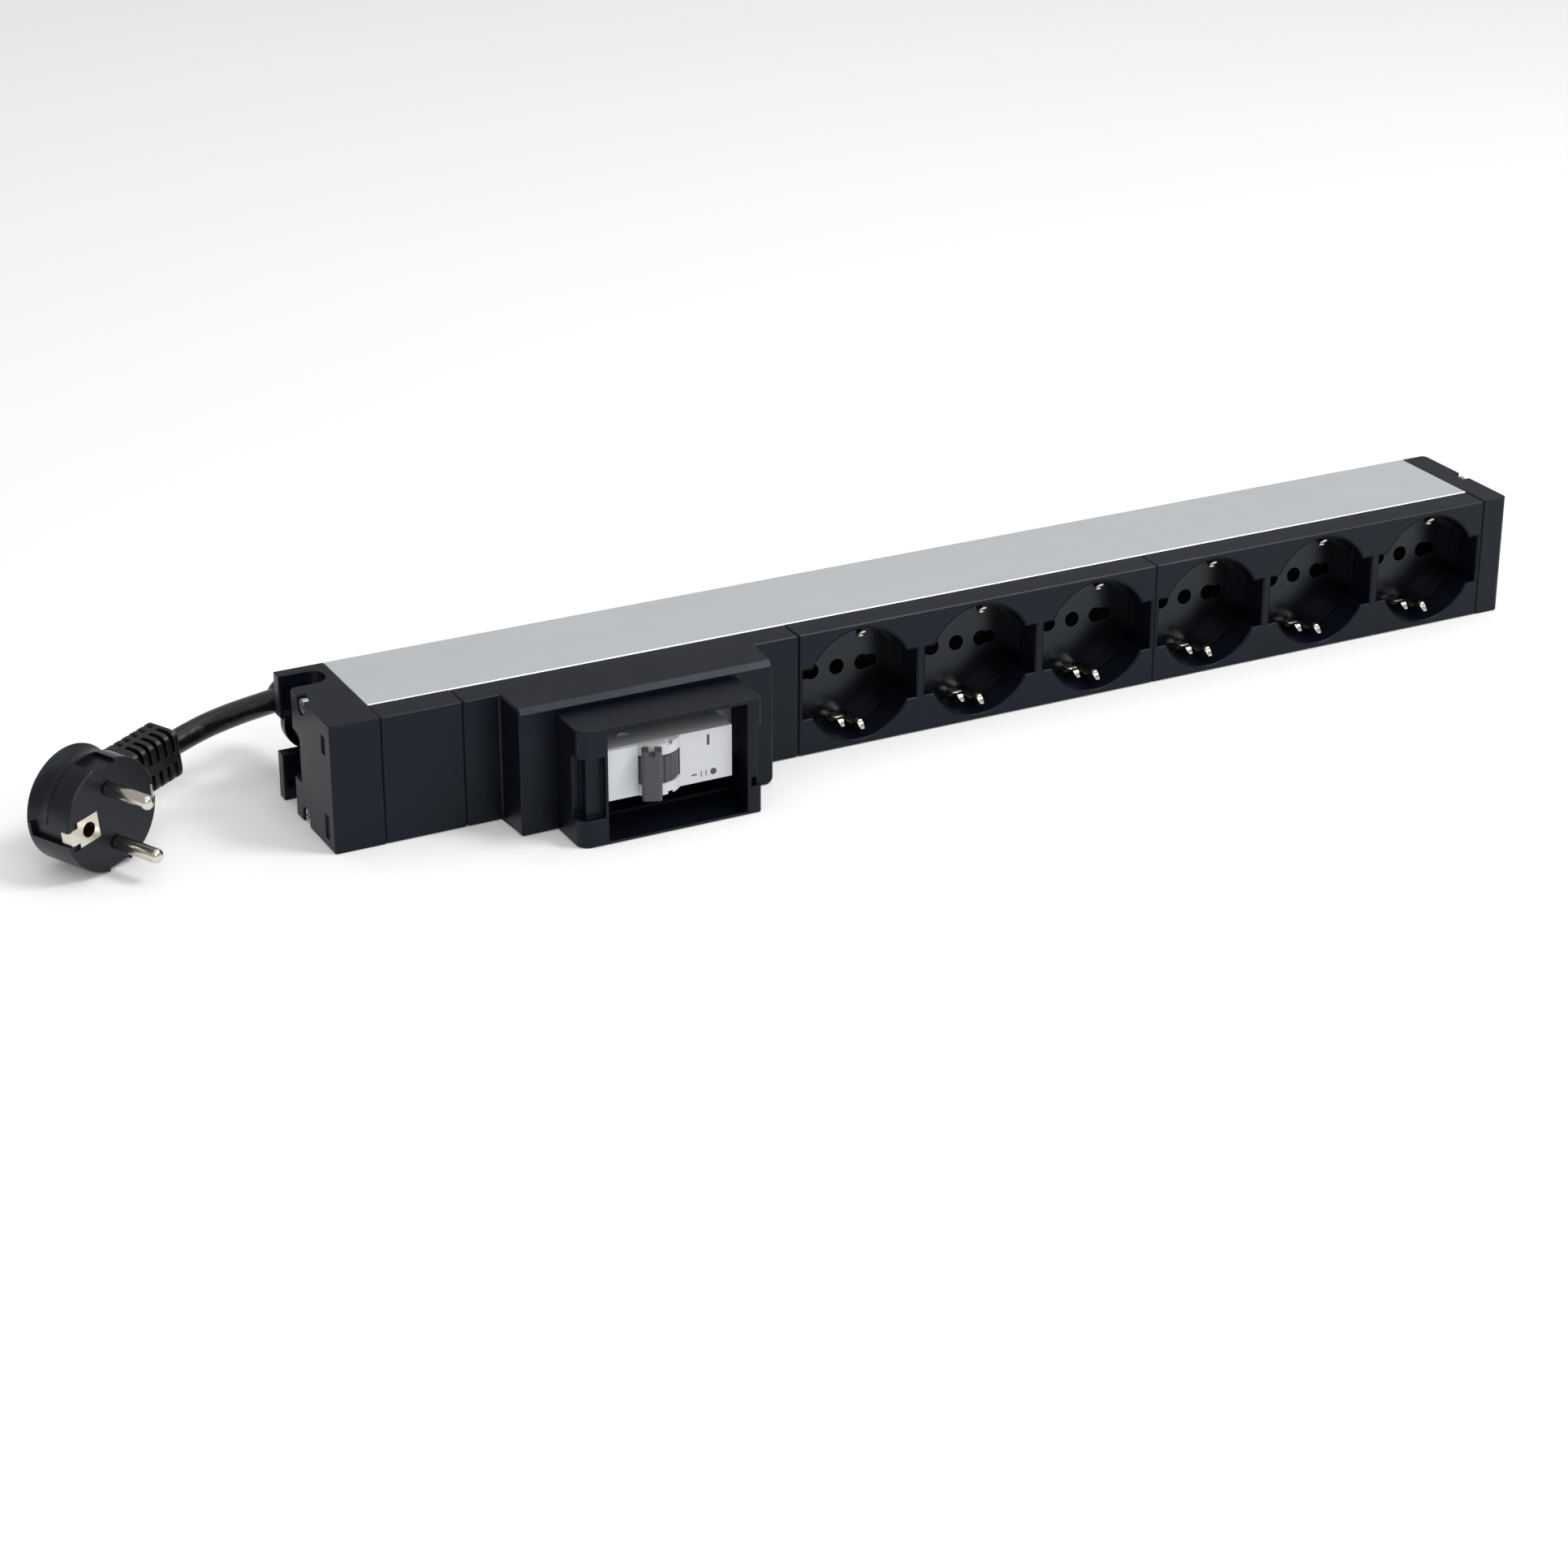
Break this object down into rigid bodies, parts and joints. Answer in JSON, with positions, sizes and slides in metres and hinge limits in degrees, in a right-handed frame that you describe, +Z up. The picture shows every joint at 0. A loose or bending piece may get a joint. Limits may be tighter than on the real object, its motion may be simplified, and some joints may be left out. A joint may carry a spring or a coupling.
{
  "type": "rack power strip",
  "caption": "Slim one-unit aluminium power strip with a hooded circuit breaker, round earthed sockets in line, black end caps and a short mains lead with an angled plug.",
  "frame": {"origin": "middle of the strip's underside: half-way along its length and half-way between the front plane of the covers and the rear face", "axes": "+X along the strip to the right seen from the front, -Y out of the sockets' front, +Z up"},
  "size_m": [0.5376, 0.1199, 0.0435],
  "materials": {
    "aluminium": "satin anodised extrusion",
    "black_housing": "fine-textured black moulding",
    "socket_black": "fine-textured black moulding",
    "nickel": "nickel-plated spring brass",
    "zinc_steel": "zinc-plated steel",
    "brass": "plain brass strip",
    "copper": "enamelled copper winding",
    "white_case": "smooth off-white moulding",
    "label_grey": "light grey label plate",
    "toggle_grey": "dark grey moulding",
    "wire_brown": "brown core insulation",
    "wire_blue": "blue core insulation",
    "wire_green_yellow": "green and yellow core insulation",
    "cable_black": "smooth black PVC sheath",
    "black_sleeve": "soft black moulding",
    "plug_black": "moulded black plug body"
  },
  "bodies": {
    "housing": {"profile_channel": "aluminium", "cable_end_cap": "black_housing", "plain_end_cap": "black_housing", "blank_cover": "black_housing", "socket_cover_a": "black_housing", "socket_cover_b": "black_housing", "breaker_carrier": "black_housing", "breaker_hood": "black_housing", "end_screws_left": "zinc_steel", "end_screws_right": "zinc_steel", "din_rail": "zinc_steel", "busbar_live": "brass", "busbar_neutral": "brass", "busbar_earth": "brass", "mcb_base_shell": "white_case", "mcb_cover_shell": "white_case", "mcb_label_flap": "label_grey", "mcb_toggle_pin": "zinc_steel", "mcb_arm_pin": "zinc_steel", "mcb_fixed_contact": "brass", "mcb_arc_chute": "zinc_steel", "mcb_trip_coil": "copper", "mcb_bimetal": "zinc_steel", "mcb_terminal_clamps": "zinc_steel", "mcb_terminal_screws": "zinc_steel", "mcb_rivets": "zinc_steel", "wire_live_in": "wire_brown", "wire_live_out": "wire_brown", "wire_neutral": "wire_blue", "wire_earth": "wire_green_yellow", "cable_elbow": "black_sleeve", "mains_cable": "cable_black", "plug_body": "plug_black", "plug_sleeve": "black_sleeve", "plug_pins": "nickel", "plug_earth_contact": "nickel", "socket_insert_1": "socket_black", "earth_clip_1": "nickel", "socket_insert_2": "socket_black", "earth_clip_2": "nickel", "socket_insert_3": "socket_black", "earth_clip_3": "nickel", "socket_insert_4": "socket_black", "earth_clip_4": "nickel", "socket_insert_5": "socket_black", "earth_clip_5": "nickel", "socket_insert_6": "socket_black", "earth_clip_6": "nickel"},
    "toggle": {"mcb_toggle": "toggle_grey"},
    "contact_arm": {"mcb_contact_arm": "brass"},
    "rail_latch": {"mcb_rail_latch": "toggle_grey"}
  },
  "joints": [
    {"name": "toggle_hinge", "type": "hinge", "parent": "housing", "child": "toggle", "pos_m": [-0.126, -0.04735, 0.02175], "axis": [0, 0, 1], "range_deg": [0, 55]},
    {"name": "contact_hinge", "type": "hinge", "parent": "housing", "child": "contact_arm", "pos_m": [-0.1205, -0.02885, 0.02175], "axis": [0, 0, 1], "range_deg": [-15.5, 0]},
    {"name": "latch_slide", "type": "slide", "parent": "housing", "child": "rail_latch", "axis": [1, 0, 0], "range_m": [0, 0.003], "stiffness_N_per_m": 200}
  ],
  "couplings": [
    {"joint": "contact_hinge", "follows": "toggle_hinge", "ratio": -0.27273}
  ]
}
